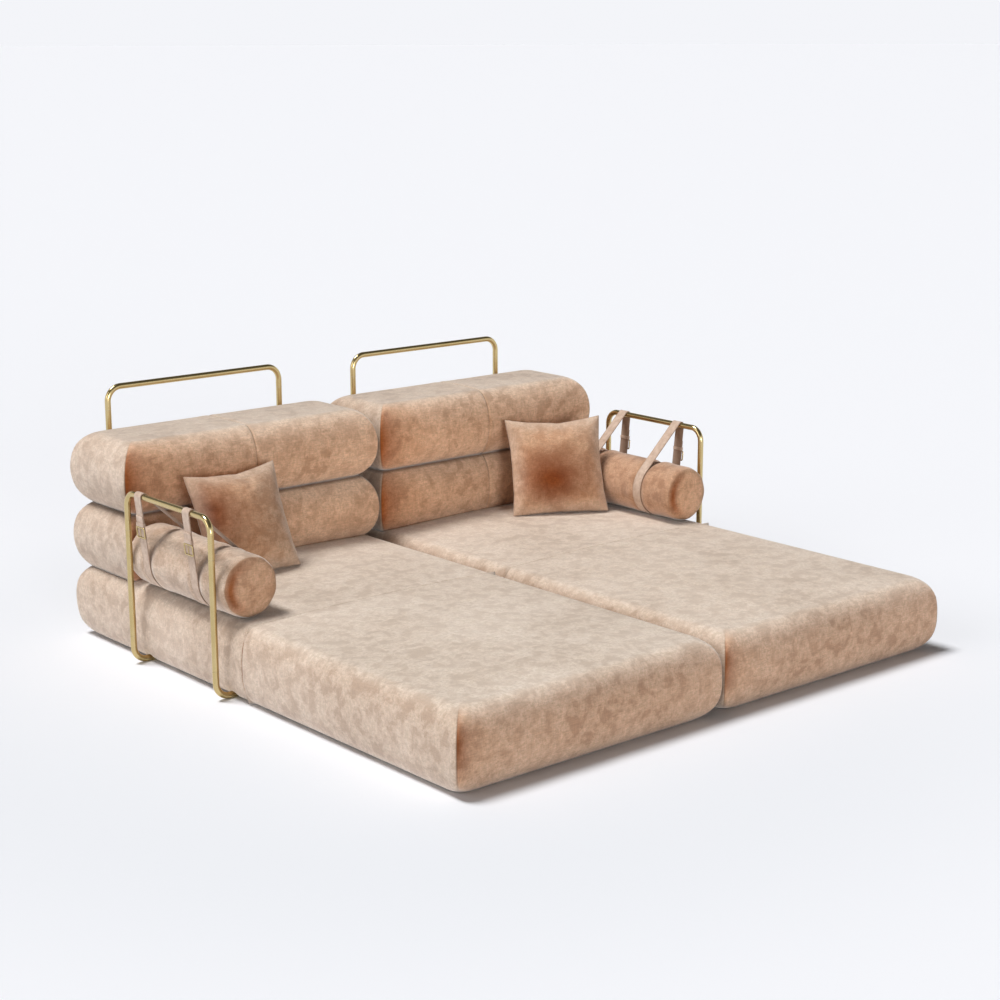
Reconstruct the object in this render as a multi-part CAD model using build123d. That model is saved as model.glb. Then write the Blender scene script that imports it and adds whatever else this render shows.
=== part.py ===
"""Futon sleeper sofa, opened flat as a bed.

Two equal modules stand side by side. Each has a mattress in two halves that fold at a
cross seam, two loose back pads stacked on its rear end, a bent tube back frame, a bent
tube arm frame with a bolster hung from it by two buckled straps, and a throw pillow.

Frame: X to the right, Y to the back, Z up. The origin is on the floor, in the middle of
the footprint. Millimetres.
"""
import os
from math import asin, atan2, cos, degrees, hypot, radians, sin

from build123d import *

os.makedirs("parts", exist_ok=True)

# Modules and mattress
module_width = 1000.0
pad_side_gap = 2.0
mattress_length = 1987.8
mattress_back = 982.9
mattress_side_height = 240.0
mattress_crown = 8.0
crown_headroom = 1.5
mattress_edge_reach = 61.0
mattress_edge_power = 2.42
fold_seam_from_back = 993.9
fold_seam_gap = 3.0
fold_seam_round = 12.0
fold_piping_diameter = 2.2

# Back pads
pad_depth = 356.0
pad_height = 238.0
pad_crown = 3.0
pad_edge_reach = 71.5
pad_edge_power = 1.73
pad_sink = 19.4
pad_pitch = 217.8
top_pad_sink = 3.6
channel_width = 3.0
channel_depth = 3.5

# Covers and the foam inside them
cover_wall = 8.0
pillow_cover_wall = 3.0
foam_gap = 0.5
rest_gap = 0.3

# Bent tube frames
tube_diameter = 20.0
tube_wall = 1.5
tube_joint_gap = 0.6
spigot_length = 70.0
spigot_gap = 0.1
back_frame_width = 677.0
back_frame_height = 814.0
back_frame_stand_off = 2.0
back_frame_bend = 48.0
back_foot_reach = 355.0
back_joint_drop = 84.0
arm_frame_length = 476.2
arm_front_leg = 84.3
arm_stand_off = 19.0
arm_frame_height = 567.0
arm_frame_bend = 45.0
arm_foot_reach = 449.0
arm_joint_drop = 132.0
lower_joint = 93.0

# Bolsters and their straps
bolster_radius = 96.0
bolster_length = 554.0
bolster_front = 46.0
bolster_leg_gap = 2.0
bolster_drop = 216.0
bolster_end_dome = 8.0
bolster_seam_drop = 7.0
bolster_seam_reach = 20.0
strap_width = 34.0
strap_thickness = 3.0
strap_from_bar = 0.3
strap_inset_front = 115.7
strap_inset_rear = 84.5
tail_length = 72.0
tail_thickness = 2.5
tail_drop = 58.0
buckle_wire = 3.5
buckle_side_gap = 1.2
buckle_height = 26.0
buckle_drop = 112.0
buckle_edge_round = 0.7
keeper_height = 11.0
keeper_wall = 2.0
keeper_drop = 87.0
keeper_gap = 0.4

# Throw pillows
pillow_side = 352.0
pillow_thickness = 118.0
pillow_draw_in = 17.0
right_pillow_gap = 0.5
right_pillow_from_stack = 220.9
right_pillow_turn = -26.6
right_pillow_lean = 21.6
left_pillow_gap = 7.0
left_pillow_from_stack = 194.9
left_pillow_turn = 3.6
left_pillow_lean = 21.9

# One overrun for every cut
overrun = 5.0

# Places worked out from the sizes above
pad_inner = pad_side_gap
pad_outer = module_width - pad_side_gap
module_middle = module_width / 2
mattress_top = mattress_side_height + mattress_crown
mattress_front = mattress_back - mattress_length
fold_seam = mattress_back - fold_seam_from_back
tube_radius = tube_diameter / 2
stack_front = mattress_back - pad_depth
pad_flattening = (pad_height - pad_pitch) / 2
middle_pad_contact = mattress_top - pad_sink
middle_pad_base = middle_pad_contact - pad_flattening
top_pad_contact = middle_pad_contact + pad_pitch
back_frame_y = mattress_back + back_frame_stand_off + tube_radius
back_legs_x = (module_middle - back_frame_width / 2, module_middle + back_frame_width / 2)
arm_x = module_width + arm_stand_off + tube_radius
arm_rear_leg = arm_front_leg + arm_frame_length
bar_height = arm_frame_height - tube_radius
back_upper_joint = back_frame_height - back_joint_drop
arm_upper_joint = arm_frame_height - arm_joint_drop
bolster_x = arm_x - tube_radius - bolster_leg_gap - bolster_radius
bolster_z = bar_height - bolster_drop
strap_places = (arm_front_leg + strap_inset_front, arm_rear_leg - strap_inset_rear)
beside_bolster = bolster_x - bolster_radius - pillow_side / 2
right_pillow_x = beside_bolster - right_pillow_gap
right_pillow_y = stack_front - right_pillow_from_stack
left_pillow_x = left_pillow_gap - beside_bolster
left_pillow_y = stack_front - left_pillow_from_stack

# Share of a foot tube's width that its slot opens at the floor
slot_share = 0.95

# Share of a buckle's wire that its lugs take
lug_share = 0.8

# Shares of half a pad's height where its edge profile changes arc
edge_shares = (-1.0, -0.9, -0.6, 0.0, 0.6, 0.9, 1.0)

# Each pair: share of the pillow's half side, and share of its half thickness there
pillow_level_shares = ((1.0, 0.0), (0.93, 0.30), (0.76, 0.60), (0.46, 0.88), (0.14, 1.0))


def chain(points):
    """Arcs through every three points in a row, end to end."""
    return [ThreePointArc(*points[i:i + 3]) for i in range(0, len(points) - 2, 2)]


def edge_profile(height, reach, power):
    """Insets and heights along a pad's rounded edge, from its underside to its top."""
    profile = []
    for share in edge_shares:
        inset = reach * (1 - (1 - abs(share) ** power) ** (1 / power))
        profile.append((inset, height * (1 + share) / 2))
    return profile


def pad_block(x_low, x_high, y_low, y_high, base, height, crown, reach, power, seam_end=None):
    """A pad crowned across X with four bulging sides that meet in mitred corner seams.

    seam_end is None, or "front" or "back" for the end that meets the other mattress half.
    """
    side = edge_profile(height, reach, power)
    start_y = y_low - overrun
    left = [(x_low + inset, start_y, base + rise) for inset, rise in side]
    right = [(x_high - inset, start_y, base + rise) for inset, rise in side]
    middle_top = ((x_low + x_high) / 2, start_y, base + height + crown)
    across = chain(left)
    across.append(ThreePointArc(left[-1], middle_top, right[-1]))
    across += chain(right[::-1])
    across.append(Line(right[0], left[0]))
    length = y_high - y_low + 2 * overrun
    long_prism = extrude(Face(Wire(across)), amount=length, dir=(0, 1, 0))

    full = height + crown + crown_headroom
    end = edge_profile(full, reach, power)
    start_x = x_low - overrun
    front = [(start_x, y_low + inset, base + rise) for inset, rise in end]
    back = [(start_x, y_high - inset, base + rise) for inset, rise in end]
    round_off = fold_seam_round
    corner = round_off * (1 - cos(radians(45)))
    square = [(round_off, 0), (corner, corner), (0, round_off)]
    square += [(0, full / 2), (0, full - round_off)]
    square += [(corner, full - corner), (round_off, full)]
    along = []
    if seam_end == "front":
        front = [(start_x, y_low + inset, base + rise) for inset, rise in square]
    if seam_end == "back":
        back = [(start_x, y_high - inset, base + rise) for inset, rise in square]
    for points, seamed in ((front, seam_end == "front"), (back[::-1], seam_end == "back")):
        if seamed:
            along.append(ThreePointArc(*points[0:3]))
            along.append(Line(points[2], points[4]))
            along.append(ThreePointArc(*points[4:7]))
        else:
            along += chain(points)
        if points is front:
            along.append(Line(front[-1], back[-1]))
    along.append(Line(back[0], front[0]))
    width = x_high - x_low + 2 * overrun
    cross_prism = extrude(Face(Wire(along)), amount=width, dir=(1, 0, 0))
    return long_prism & cross_prism


def mattress_block(inset, end):
    """Half a mattress, front or rear, drawn in by inset on every side."""
    seam_low = fold_seam - fold_seam_gap / 2 - inset
    seam_high = fold_seam + fold_seam_gap / 2 + inset
    scale = 1 - 2 * inset / mattress_side_height
    y_low = mattress_front + inset if end == "front" else seam_high
    y_high = seam_low if end == "front" else mattress_back - inset
    return pad_block(
        pad_inner + inset, pad_outer - inset, y_low, y_high, inset,
        mattress_side_height - 2 * inset, mattress_crown,
        mattress_edge_reach * scale, mattress_edge_power,
        "back" if end == "front" else "front",
    )


def back_pad_block(inset, base):
    """A back pad drawn in by inset, or grown where inset is negative, before it is flattened."""
    scale = 1 - 2 * inset / pad_height
    return pad_block(
        pad_inner + inset, pad_outer - inset, stack_front + inset, mattress_back - inset,
        base + inset, pad_height - 2 * inset, pad_crown,
        pad_edge_reach * scale, pad_edge_power,
    )


def slab(low, high):
    """Everything of one module between two heights."""
    block = Box(2 * module_width, 2 * mattress_length, high - low)
    return Pos(module_middle, 0, (low + high) / 2) * block


def channel_ring(base, low, high):
    """The sewn channel round the middle of a back pad, as the band that it takes away."""
    outer = back_pad_block(-overrun, base) & slab(low - overrun, high + overrun)
    inner = back_pad_block(channel_depth, base) & slab(low + channel_depth, high - channel_depth)
    band = Pos(module_middle, 0, (low + high) / 2) * Box(
        channel_width, 2 * mattress_length, 2 * pad_height)
    return (outer & band) - inner


def back_pad(base, pressed_low, pressed_high):
    """Cover and foam of a back pad, with how far its base and its crown are pressed flat."""
    low = base + pressed_low
    top = base + pad_height + pad_crown - pressed_high
    cut = top if pressed_high > 0 else top + overrun
    shell = back_pad_block(0, base) & slab(low, cut)
    shell = shell - channel_ring(base, low, top)
    hollow = back_pad_block(cover_wall, base) & slab(low + cover_wall, top - cover_wall)
    gap = cover_wall + foam_gap
    foam = back_pad_block(gap, base) & slab(low + gap, top - gap)
    return shell - hollow, foam


def tube(points, bend):
    """A hollow tube along straight runs joined by bends of one radius."""
    path = FilletPolyline(*points, radius=bend) if len(points) > 2 else Line(*points)
    start = Plane(origin=path @ 0, z_dir=path % 0)
    section = start * (Circle(tube_radius) - Circle(tube_radius - tube_wall))
    return sweep(section, path=path)


def rod(low, high, radius):
    """A solid round bar between two points."""
    path = Line(low, high)
    return sweep(Plane(origin=path @ 0, z_dir=path % 0) * Circle(radius), path=path)


def foot_points(legs, corners):
    """Corners of a foot tube's route, from one leg down, under the mattress and up the other."""
    top = lower_joint - tube_joint_gap / 2
    (first, last) = legs
    return [(*first, top), (*first, tube_radius), (*corners[0], tube_radius),
            (*corners[1], tube_radius), (*last, tube_radius), (*last, top)]


def without_foot(body, legs, corners, bend, clearance):
    """A mattress body less the slot for a foot tube, which is open at the floor."""
    route = FilletPolyline(*foot_points(legs, corners), radius=bend)
    section = Plane(origin=route @ 0, z_dir=route % 0) * Circle(tube_radius + clearance)
    body = body - sweep(section, path=route)
    flat = FilletPolyline(legs[0], *corners, legs[1], radius=bend)
    width = 2 * (tube_radius + clearance) * slot_share
    slot = extrude(trace(flat, width), amount=tube_radius + overrun)
    return body - Pos(0, 0, -overrun) * slot


def frame_nodes(legs, top, bend, foot, upper_joint):
    """Hoop, legs, foot and spigots of a tube frame.

    legs holds the (x, y) of both legs, foot the (x, y) of the two corners under the mattress.
    """
    half_gap = tube_joint_gap / 2
    (x_a, y_a), (x_b, y_b) = legs
    bar = top - tube_radius
    hoop = tube([(x_a, y_a, upper_joint + half_gap), (x_a, y_a, bar),
                 (x_b, y_b, bar), (x_b, y_b, upper_joint + half_gap)], bend)
    straight = [tube([(x, y, lower_joint + half_gap), (x, y, upper_joint - half_gap)], bend)
                for x, y in legs]
    base = tube(foot_points(legs, foot), bend)
    spigots = []
    spigot_radius = tube_radius - tube_wall - spigot_gap
    rooms = ((lower_joint, lower_joint - tube_radius - bend), (upper_joint, bar - bend - upper_joint))
    for x, y in legs:
        for joint, room in rooms:
            reach = min(room, spigot_length / 2)
            spigots.append(rod((x, y, joint - reach), (x, y, joint + reach), spigot_radius))
    return hoop, Compound(straight), base, Compound(spigots)


def bolster_body(inset):
    """A round bolster with domed ends, drawn in by inset."""
    radius = bolster_radius - inset
    half = bolster_length / 2 - inset
    seam_radius = radius - bolster_seam_drop
    seam_half = half - bolster_end_dome
    ball = (seam_radius ** 2 + bolster_end_dome ** 2) / (2 * bolster_end_dome)
    dome_radius = seam_radius / 2
    dome_rise = half - ball + (ball ** 2 - dome_radius ** 2) ** 0.5
    crest_share = 0.45
    tips = []
    for sign in (-1, 1):
        tips.append([
            (0, sign * half),
            (dome_radius, sign * dome_rise),
            (seam_radius, sign * seam_half),
            (radius - bolster_seam_drop * (1 - crest_share) ** 2,
             sign * (seam_half - bolster_seam_reach * crest_share)),
            (radius, sign * (seam_half - bolster_seam_reach)),
        ])
    front, back = tips
    outline = chain(front) + [Line(front[-1], back[-1])]
    outline += chain(back[::-1]) + [Line(back[0], front[0])]
    middle = (bolster_x, bolster_front + bolster_length / 2, bolster_z)
    body = revolve(Face(Wire(outline)), axis=Axis.Y, revolution_arc=360)
    return Pos(*middle) * body


# Straight outer strand of a strap, from the bar down to the bolster
strap_span = hypot(arm_x - bolster_x, bar_height - bolster_z)
centre_lean = degrees(atan2(arm_x - bolster_x, bar_height - bolster_z))
belt_lean = degrees(asin((bolster_radius - tube_radius) / strap_span))
outer_lean = radians(centre_lean - belt_lean)
inner_lean = radians(centre_lean + belt_lean)


def belt_area(offset):
    """Outline of a taut loop round bar and bolster, offset from both, in the XZ plane."""
    ends = ((arm_x, bar_height, tube_radius), (bolster_x, bolster_z, bolster_radius))
    outer = (cos(outer_lean), -sin(outer_lean))
    inner = (-cos(inner_lean), sin(inner_lean))
    corners = []
    for x, z, radius in ends:
        corners.append([(x + (radius + offset) * n[0], z + (radius + offset) * n[1])
                        for n in (outer, inner)])
    (bar_out, bar_in), (low_out, low_in) = corners
    outline = Polyline(*[(x, 0, z) for x, z in (bar_out, low_out, low_in, bar_in)], close=True)
    area = Face(Wire(outline.edges()))
    for x, z, radius in ends:
        area = area + Plane((x, 0, z), z_dir=(0, -1, 0)) * Circle(radius + offset)
    return area


def on_strand(drop, out, y):
    """Plane on the outer strand: X across the strap, Y up along it, Z outwards."""
    normal = Vector(cos(outer_lean), 0, -sin(outer_lean))
    up = Vector(sin(outer_lean), 0, cos(outer_lean))
    origin = Vector(arm_x, y, bar_height) + normal * (tube_radius + out) - up * drop
    return Plane(origin=origin, x_dir=up.cross(normal), z_dir=normal)


def strap(y):
    """One loop of strap with its buckled tail."""
    inside = strap_from_bar
    area = belt_area(inside + strap_thickness) - belt_area(inside)
    loop = Pos(0, y + strap_width / 2, 0) * extrude(area, amount=strap_width, dir=(0, -1, 0))
    layer = on_strand(tail_drop + tail_length / 2, inside + strap_thickness, y)
    tail = layer * Box(strap_width, tail_length, tail_thickness,
                       align=(Align.CENTER, Align.CENTER, Align.MIN))
    return loop + tail


def buckle(y):
    """Flat frame on the strap's outer face, with lugs round its edges to a rear bar."""
    inside = strap_from_bar
    stack = strap_thickness + tail_thickness
    opening = strap_width + 2 * buckle_side_gap
    outer = opening + 2 * buckle_wire
    face_plane = on_strand(buckle_drop, inside + stack + rest_gap, y)
    plate = Rectangle(outer, buckle_height) - Rectangle(opening, buckle_height - 2 * buckle_wire)
    frame = face_plane * extrude(plate, amount=buckle_wire)
    frame = fillet(frame.edges(), buckle_edge_round)
    depth = stack + 2 * rest_gap + buckle_wire / 2 + buckle_wire
    rear = on_strand(buckle_drop, inside - rest_gap - buckle_wire / 2, y)
    lug_x = (opening + buckle_wire) / 2
    lug = Box(buckle_wire * lug_share, buckle_wire * lug_share, depth,
              align=(Align.CENTER, Align.CENTER, Align.MIN))
    lugs = [rear * (Pos(side * lug_x, 0, 0) * lug) for side in (-1, 1)]
    bar = rear * (Rot(0, 90, 0) * Cylinder(buckle_wire / 2, 2 * lug_x + buckle_wire * lug_share))
    return frame + lugs + bar


def keeper(y):
    """Closed loop that holds the strap's tail against its strand."""
    stack = strap_thickness + tail_thickness
    inner = (strap_width + 2 * keeper_gap, stack + 2 * keeper_gap)
    middle = on_strand(keeper_drop, strap_from_bar + stack / 2, y)
    outer_box = Box(inner[0] + 2 * keeper_wall, keeper_height, inner[1] + 2 * keeper_wall)
    hole = Box(inner[0], keeper_height + overrun, inner[1])
    return middle * (outer_box - hole)


def pillow_body(inset):
    """A square pillow with drawn-in sides, in its own plane, centred on the origin."""
    half = pillow_side / 2 - inset
    rise = pillow_thickness / 2 - inset
    levels = []
    for size_share, rise_share in pillow_level_shares:
        reach = half * size_share
        draw = pillow_draw_in * (2 * size_share - 1)
        turns = [(reach, reach), (-reach, reach), (-reach, -reach), (reach, -reach)]
        middles = [(0, reach - draw), (draw - reach, 0), (0, draw - reach), (reach - draw, 0)]
        edges = []
        for i, via in enumerate(middles):
            edges.append(ThreePointArc(turns[i], via, turns[(i + 1) % 4]))
        levels.append(Pos(0, 0, rise * rise_share) * Face(Wire(edges)))
    front = loft(levels)
    return front + mirror(front, about=Plane.XY)


def pillow(x, y, turn, lean):
    """Cover and filling of a pillow that stands on its lower edge and leans back."""
    across = Vector(cos(radians(turn)), sin(radians(turn)), 0)
    back = Vector(-sin(radians(turn)), cos(radians(turn)), 0)
    up = back * sin(radians(lean)) + Vector(0, 0, cos(radians(lean)))
    foot = Vector(x, y, mattress_top + rest_gap)
    plane = Plane(origin=foot + up * (pillow_side / 2), x_dir=across, z_dir=across.cross(up))
    cover = pillow_body(0) - pillow_body(pillow_cover_wall)
    filling = pillow_body(pillow_cover_wall + foam_gap)
    return plane * cover, plane * filling


def right_side():
    """Every node of the right-hand module but its pillow, by name."""
    arm_legs = ((arm_x, arm_front_leg), (arm_x, arm_rear_leg))
    arm_foot = [(arm_x - arm_foot_reach, y) for x, y in arm_legs]
    back_legs = [(x, back_frame_y) for x in back_legs_x]
    back_foot = [(x, back_frame_y - back_foot_reach) for x in back_legs_x]
    feet = ((arm_legs, arm_foot, arm_frame_bend), (back_legs, back_foot, back_frame_bend))

    nodes = {}
    rear = mattress_block(0, "rear") - back_pad_block(-rest_gap, middle_pad_base)
    hollow = mattress_block(cover_wall, "rear")
    hollow = hollow - back_pad_block(-cover_wall, middle_pad_base)
    foam_inset = cover_wall + foam_gap
    foam = mattress_block(foam_inset, "rear")
    foam = foam - back_pad_block(-foam_inset, middle_pad_base)
    for foot in feet:
        rear = without_foot(rear, *foot, rest_gap)
        hollow = without_foot(hollow, *foot, rest_gap + cover_wall)
        foam = without_foot(foam, *foot, rest_gap + foam_inset)
    nodes["mattress_rear_cover"] = rear - hollow
    nodes["mattress_rear_foam"] = foam
    nodes["mattress_front_cover"] = mattress_block(0, "front") - mattress_block(cover_wall, "front")
    nodes["mattress_front_foam"] = mattress_block(foam_inset, "front")

    piping_ends = [(x, fold_seam, mattress_side_height - fold_seam_round)
                   for x in (pad_inner + mattress_edge_reach, pad_outer - mattress_edge_reach)]
    nodes["mattress_fold_piping"] = rod(*piping_ends, fold_piping_diameter / 2)

    cover, foam = back_pad(middle_pad_base, pad_flattening, pad_flattening + pad_crown)
    nodes["middle_pad_cover"] = cover
    nodes["middle_pad_foam"] = foam
    cover, foam = back_pad(top_pad_contact + rest_gap - top_pad_sink, top_pad_sink, 0)
    nodes["top_pad_cover"] = cover
    nodes["top_pad_foam"] = foam

    names = ("hoop", "legs", "foot", "spigots")
    shapes = frame_nodes(back_legs, back_frame_height, back_frame_bend, back_foot, back_upper_joint)
    nodes.update({f"back_frame_{name}": shape for name, shape in zip(names, shapes)})
    shapes = frame_nodes(arm_legs, arm_frame_height, arm_frame_bend, arm_foot, arm_upper_joint)
    nodes.update({f"arm_frame_{name}": shape for name, shape in zip(names, shapes)})

    nodes["bolster_cover"] = bolster_body(0) - bolster_body(pillow_cover_wall)
    nodes["bolster_filling"] = bolster_body(pillow_cover_wall + foam_gap)
    for place, y in zip(("front", "rear"), strap_places):
        nodes[f"{place}_strap"] = strap(y)
    nodes["strap_buckles"] = Compound([buckle(y) for y in strap_places])
    nodes["strap_keepers"] = Compound([keeper(y) for y in strap_places])
    return nodes


right_nodes = right_side()
for name, shape in right_nodes.items():
    export_step(shape, f"parts/right_{name}.step")
    export_step(mirror(shape, about=Plane.YZ), f"parts/left_{name}.step")

pillows = (
    ("right", right_pillow_x, right_pillow_y, right_pillow_turn, right_pillow_lean),
    ("left", left_pillow_x, left_pillow_y, left_pillow_turn, left_pillow_lean),
)
for side, *place in pillows:
    cover, filling = pillow(*place)
    export_step(cover, f"parts/{side}_pillow_cover.step")
    export_step(filling, f"parts/{side}_pillow_filling.step")
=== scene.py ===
"""Looks of the futon sleeper sofa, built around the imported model."""

import math

import bpy
import numpy as np
from mathutils import Matrix, Vector, noise


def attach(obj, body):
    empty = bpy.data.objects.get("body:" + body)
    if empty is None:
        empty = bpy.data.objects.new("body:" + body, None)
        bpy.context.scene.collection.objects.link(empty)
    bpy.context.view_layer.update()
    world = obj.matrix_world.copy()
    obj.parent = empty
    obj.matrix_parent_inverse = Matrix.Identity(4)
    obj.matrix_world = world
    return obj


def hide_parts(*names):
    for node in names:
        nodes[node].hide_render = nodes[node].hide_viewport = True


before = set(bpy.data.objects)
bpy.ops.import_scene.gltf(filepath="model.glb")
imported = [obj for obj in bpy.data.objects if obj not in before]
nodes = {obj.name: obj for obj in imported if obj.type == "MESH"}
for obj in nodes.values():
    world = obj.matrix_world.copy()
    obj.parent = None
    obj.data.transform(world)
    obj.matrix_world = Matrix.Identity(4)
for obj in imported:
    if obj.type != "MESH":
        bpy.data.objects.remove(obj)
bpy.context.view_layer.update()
scene = bpy.context.scene

# Camera, at the photograph's viewing angle
camera_place = Vector((-3.971, -4.6544, 1.9115))
yaw, pitch, roll = 0.7076, 0.2312, -0.0022
forward = Vector((math.sin(yaw) * math.cos(pitch), math.cos(yaw) * math.cos(pitch), -math.sin(pitch)))
level = Vector((math.cos(yaw), -math.sin(yaw), 0))
upward = level.cross(forward)
camera_x = math.cos(roll) * level + math.sin(roll) * upward
camera_y = math.cos(roll) * upward - math.sin(roll) * level
camera_data = bpy.data.cameras.new("camera")
camera_data.lens = 70.21
camera_data.sensor_width = 36
camera_data.clip_end = 2000
camera = bpy.data.objects.new("camera", camera_data)
turn = Matrix((camera_x, camera_y, -forward)).transposed()
camera.matrix_world = Matrix.Translation(camera_place) @ turn.to_4x4()
scene.collection.objects.link(camera)
scene.camera = camera
scene.view_settings.view_transform = "Standard"

# Sizes of the solids that the soft pieces follow, in metres
pad_xs = (0.002, 0.998)
mattress_end = -1.0049
fold_y = -0.011
fold_gap = 0.0008
mattress_corner = 0.060
pad_corner = 0.034
mattress_side = 0.240
mattress_crown = 0.008
mattress_reach = 0.061
mattress_power = 2.42
pad_side = 0.238
pad_crown = 0.003
pad_reach = 0.0715
pad_power = 2.0
middle_base = 0.2184
middle_low = 0.2288
middle_high = 0.4462
top_base = 0.4431
top_low = 0.4467
stack_front = 0.6269
stack_back = 0.9829
channel_place = 0.498
seat_z = 0.2483
foot_lift = 0.0206
arm_foot_xs = (0.58, 1.03)
arm_foot_ys = (0.0843, 0.5605)
back_foot_xs = (0.1615, 0.8385)
back_foot_ys = (0.6399, 0.9949)
bar_z = 0.557
arm_x = 1.029
tube_radius = 0.010
bolster_x = 0.921
bolster_z = 0.341
bolster_radius = 0.096
bolster_front = 0.038
bolster_length = 0.562
bolster_rest = 0.2452
strap_ys = (0.200, 0.476)
belt_radius = 0.0940
tail_drops = (0.058, 0.130)
buckle_drop = 0.112
pillow_half_side = 0.176
mattress_form = (mattress_side, mattress_crown, mattress_reach, mattress_power)
pad_form = (pad_side, pad_crown, pad_reach, pad_power)

# Sizes of the seams, creases and the dark lines painted along them
corner_groove, corner_groove_deep = 0.0042, 0.0030
corner_puff, corner_puff_place, corner_puff_high = 0.013, 0.020, 0.0012
channel_groove, channel_groove_deep = 0.0034, 0.0045
channel_swell, channel_swell_place, channel_swell_high = 0.014, 0.022, 0.0012
fold_crease, fold_crease_deep = 0.0050, 0.0008
corner_line, channel_line, contact_line, fold_line = 0.0030, 0.0024, 0.0055, 0.0045
disc_dome, disc_seam_drop, disc_round = 0.0078, 0.0055, 0.022
bolster_shoulder = 0.05

# Sizes of straps, buckles and pillows as drawn here; the photo's look wider than the solids
strap_wide = 0.0395
strap_thick = 0.0030
belt_offset = 0.0018
tail_thick = 0.0025
tail_out = tube_radius + 0.0033
stitch_inset = 0.0045
buckle_wide = 0.0500
buckle_tall = 0.0380
buckle_wire = 0.0054
buckle_thick = 0.0036
buckle_out = 0.0042
pillow_wide = 0.364
pillow_thick = 0.124


class Nodes:
    """A node tree that is written top down."""

    def __init__(self, tree):
        tree.nodes.clear()
        self.tree = tree

    def add(self, kind, **settings):
        node = self.tree.nodes.new(kind)
        for key, value in settings.items():
            setattr(node, key, value)
        return node

    def put(self, socket, value):
        if isinstance(value, bpy.types.NodeSocket):
            self.tree.links.new(value, socket)
        else:
            socket.default_value = value

    def math(self, operation, a, b=0.0, c=0.0, clamp=False):
        node = self.add("ShaderNodeMath", operation=operation, use_clamp=clamp)
        for socket, value in zip(node.inputs, (a, b, c)):
            self.put(socket, value)
        return node.outputs[0]

    def noise(self, vector, scale, detail=4.0, roughness=0.55, distortion=0.0):
        node = self.add("ShaderNodeTexNoise")
        self.put(node.inputs["Vector"], vector)
        self.put(node.inputs["Scale"], scale)
        self.put(node.inputs["Detail"], detail)
        self.put(node.inputs["Roughness"], roughness)
        self.put(node.inputs["Distortion"], distortion)
        return node.outputs[0]

    def stretched(self, vector, scale, turned=(0, 0, 0)):
        node = self.add("ShaderNodeMapping")
        self.put(node.inputs["Vector"], vector)
        node.inputs["Scale"].default_value = scale
        node.inputs["Rotation"].default_value = turned
        return node.outputs[0]

    def ramp(self, factor, low, high):
        """0 at low, 1 at high, smooth in between."""
        node = self.add("ShaderNodeMapRange", interpolation_type="SMOOTHSTEP")
        for name, value in (("Value", factor), ("From Min", low), ("From Max", high)):
            self.put(node.inputs[name], value)
        return node.outputs[0]

    def mix(self, factor, a, b, blend="MIX"):
        node = self.add("ShaderNodeMix", data_type="RGBA", blend_type=blend)
        self.put(node.inputs[0], factor)
        self.put(node.inputs[6], a)
        self.put(node.inputs[7], b)
        return node.outputs[2]

    def bump(self, height, distance, strength=1.0, normal=None):
        node = self.add("ShaderNodeBump")
        self.put(node.inputs["Height"], height)
        node.inputs["Distance"].default_value = distance
        node.inputs["Strength"].default_value = strength
        if normal is not None:
            self.put(node.inputs["Normal"], normal)
        return node.outputs[0]

    def principled(self, **inputs):
        shader = self.add("ShaderNodeBsdfPrincipled")
        for name, value in inputs.items():
            self.put(shader.inputs[name.replace("_", " ")], value)
        out = self.add("ShaderNodeOutputMaterial")
        self.tree.links.new(shader.outputs[0], out.inputs[0])
        return shader


def new_material(name):
    material = bpy.data.materials.new(name)
    material.use_nodes = True
    tree = Nodes(material.node_tree)
    place = tree.add("ShaderNodeTexCoord").outputs["Object"]
    return material, tree, place


def rgb(red, green, blue):
    return (red, green, blue, 1.0)


# Tints of the velvet's painted shade, painted light and painted sheen, and of its random rubbed patches
panel_tint = rgb(0.97, 0.82, 0.71)
glow_tint = rgb(1.29, 1.23, 1.16)
rub_tint = rgb(0.83, 0.80, 0.75)
fair_dark = rgb(0.66, 0.56, 0.46)
fair_pale = rgb(0.95, 0.875, 0.785)


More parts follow.
